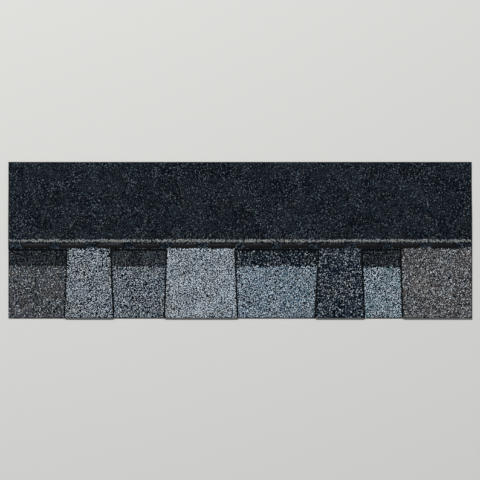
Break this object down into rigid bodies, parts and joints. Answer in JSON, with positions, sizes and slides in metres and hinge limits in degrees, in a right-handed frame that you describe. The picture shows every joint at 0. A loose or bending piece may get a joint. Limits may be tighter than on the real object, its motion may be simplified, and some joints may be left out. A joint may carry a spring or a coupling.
{
  "type": "laminated asphalt shingle",
  "caption": "Two-ply laminated asphalt shingle lying face up, with a dovetail-toothed granule-coated overlay on a plain backing strip, self-seal dashes and a draped headlap.",
  "frame": {"origin": "under the middle of the shingle, on the floor that it lies on", "axes": "+X along the shingle, +Y up the roof from the butt edge to the top edge, +Z out of the granule face"},
  "size_m": [1, 0.337, 0.0061],
  "materials": {
    "overlay_granules": "mineral granules in asphalt",
    "backer_granules": "mineral granules in asphalt",
    "laminating_asphalt": "tacky asphalt",
    "seal_asphalt": "glossy asphalt",
    "release_film": "thin clear film"
  },
  "bodies": {
    "root": {"top_ply": "overlay_granules", "backer_ply": "backer_granules", "laminating_adhesive": "laminating_asphalt", "sealant_strip": "seal_asphalt", "release_film": "release_film"}
  },
  "joints": []
}
